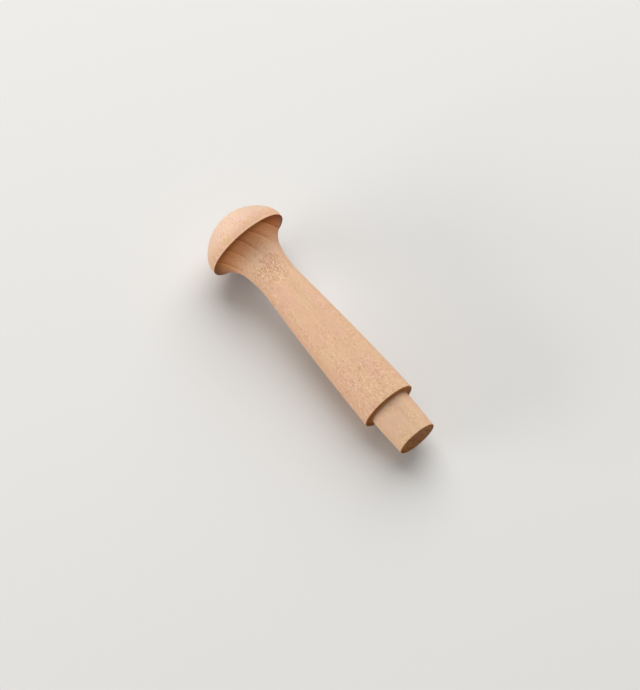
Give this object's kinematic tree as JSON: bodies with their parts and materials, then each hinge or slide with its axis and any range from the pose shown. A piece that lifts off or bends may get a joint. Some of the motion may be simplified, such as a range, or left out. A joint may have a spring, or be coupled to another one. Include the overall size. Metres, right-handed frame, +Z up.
{
  "type": "shaker peg",
  "caption": "Turned wooden peg with a domed head, a cove under it, a slender neck, a gently swelling shaft, a square shoulder and a short round tenon.",
  "frame": {"origin": "on the ground, under the middle of the peg's bounding box as it lies at rest on the rim of its head and the edge of its shoulder", "axes": "+X along the ground from the head towards the tenon, +Z up; the peg's own axis lies in the XZ plane and leans 3.8 degrees down towards the tenon"},
  "size_m": [0.0868, 0.0254, 0.0254],
  "materials": {
    "wood": "sanded smooth, unfinished"
  },
  "bodies": {
    "root": {"peg": "wood"}
  },
  "joints": []
}
